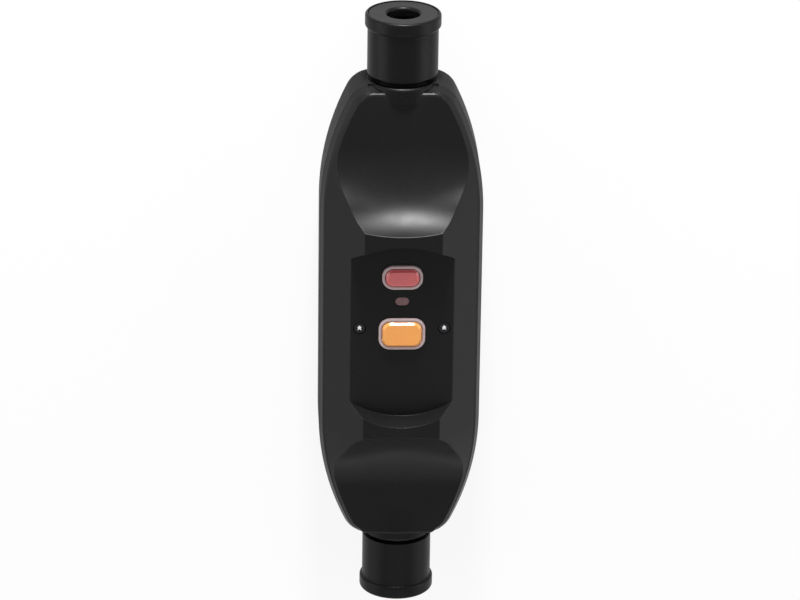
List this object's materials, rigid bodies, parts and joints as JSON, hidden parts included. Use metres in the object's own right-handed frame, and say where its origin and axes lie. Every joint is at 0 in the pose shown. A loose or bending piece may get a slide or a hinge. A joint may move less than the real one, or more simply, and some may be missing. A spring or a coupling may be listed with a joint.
{
  "type": "in-line residual current device",
  "caption": "Black two-shell in-line residual current device with a cable gland at each end, thumb dishes, a sunk panel with test and reset buttons, and its trip works inside.",
  "frame": {"origin": "under the middle of the case, on the plane of its flat back", "axes": "+X across the case, +Y along it towards the line end, +Z out of the control panel"},
  "size_m": [0.054, 0.208, 0.0413],
  "materials": {
    "case_plastic": "satin moulded",
    "cover_plastic": "fine spark texture",
    "gland_plastic": "satin moulded",
    "bell_plastic": "satin moulded",
    "seal_rubber": "smooth",
    "membrane_silicone": "translucent satin",
    "red_key": "satin",
    "orange_key": "satin",
    "flag_red": "satin",
    "lens_clear": "clear polished",
    "screw_steel": "zinc plated",
    "panel_screw_steel": "blackened",
    "spring_steel": "drawn wire",
    "brass": "turned",
    "copper": "stamped",
    "works_plastic": "moulded",
    "carrier_plastic": "moulded",
    "board_laminate": "solder resist",
    "component_body": "moulded",
    "core_case": "moulded",
    "enamelled_wire": "enamelled",
    "soft_iron": "plated"
  },
  "bodies": {
    "case": {"rear_shell": "case_plastic", "front_cover": "cover_plastic", "case_gasket": "seal_rubber", "case_screws": "screw_steel", "button_membrane": "membrane_silicone", "indicator_lens": "lens_clear", "panel_screws": "panel_screw_steel", "test_spring": "spring_steel", "reset_spring": "spring_steel", "line_cord_clamp": "gland_plastic", "load_cord_clamp": "gland_plastic", "clamp_screws": "screw_steel", "mechanism_base": "works_plastic", "base_screws": "screw_steel", "line_terminals": "brass", "load_terminals": "brass", "terminal_screws": "brass", "earth_link": "copper", "line_contacts": "copper", "load_contacts": "copper", "load_conductors": "copper", "opening_spring": "spring_steel", "sensing_core": "core_case", "sensing_winding": "enamelled_wire", "circuit_board": "board_laminate", "board_components": "component_body", "test_switch": "component_body", "solenoid_frame": "soft_iron", "solenoid_bobbin": "works_plastic", "solenoid_coil": "enamelled_wire", "plunger_spring": "spring_steel", "latch_pin": "screw_steel", "line_gland_spigot": "gland_plastic", "line_gland_seal": "seal_rubber", "line_slip_washer": "works_plastic", "load_gland_spigot": "gland_plastic", "load_gland_seal": "seal_rubber", "load_slip_washer": "works_plastic"},
    "test_button": {"test_button": "red_key"},
    "reset_button": {"reset_button": "orange_key"},
    "contact_carrier": {"contact_carrier": "carrier_plastic", "moving_contacts": "copper", "contact_springs": "spring_steel", "indicator_flag": "flag_red"},
    "plunger": {"plunger": "soft_iron"},
    "latch_lever": {"latch_lever": "soft_iron"},
    "line_bell_mouth": {"line_bell_mouth": "bell_plastic"},
    "line_gland_nut": {"line_gland_nut": "gland_plastic"},
    "load_bell_mouth": {"load_bell_mouth": "bell_plastic"},
    "load_gland_nut": {"load_gland_nut": "gland_plastic"}
  },
  "joints": [
    {"name": "test_press", "type": "slide", "parent": "case", "child": "test_button", "axis": [0, 0, -1], "range_m": [0, 0.0012], "stiffness_N_per_m": 900, "springref_m": -0.001, "deforming": ["test_spring"]},
    {"name": "reset_press", "type": "slide", "parent": "case", "child": "reset_button", "axis": [0, 0, -1], "range_m": [0, 0.0025], "stiffness_N_per_m": 900, "springref_m": -0.001, "deforming": ["reset_spring"]},
    {"name": "contact_drop", "type": "slide", "parent": "case", "child": "contact_carrier", "axis": [0, 0, -1], "range_m": [0, 0.0025], "deforming": ["opening_spring"]},
    {"name": "plunger_pull", "type": "slide", "parent": "case", "child": "plunger", "axis": [0, 1, 0], "range_m": [0, 0.00171], "deforming": ["plunger_spring"]},
    {"name": "latch_swing", "type": "hinge", "parent": "case", "child": "latch_lever", "pos_m": [0, 0.007, 0.0104], "axis": [-1, 0, 0], "range_deg": [0, 22.1]},
    {"name": "line_bell_travel", "type": "slide", "parent": "case", "child": "line_bell_mouth", "axis": [0, 1, 0], "range_m": [0, 0.0061]},
    {"name": "line_nut_turn", "type": "hinge", "parent": "line_bell_mouth", "child": "line_gland_nut", "pos_m": [0, 0.1, 0.0135], "axis": [0, -1, 0], "range_deg": [0, 1080]},
    {"name": "load_bell_travel", "type": "slide", "parent": "case", "child": "load_bell_mouth", "axis": [0, -1, 0], "range_m": [0, 0.0061]},
    {"name": "load_nut_turn", "type": "hinge", "parent": "load_bell_mouth", "child": "load_gland_nut", "pos_m": [0, -0.1, 0.0135], "axis": [0, 1, 0], "range_deg": [0, 1080]}
  ],
  "couplings": [
    {"joint": "plunger_pull", "follows": "contact_drop", "ratio": 0.67876},
    {"joint": "latch_swing", "follows": "contact_drop", "rad_per_m": 153.59},
    {"joint": "line_bell_travel", "follows": "line_nut_turn", "m_per_rad": 0.00031831},
    {"joint": "load_bell_travel", "follows": "load_nut_turn", "m_per_rad": 0.00031831}
  ]
}
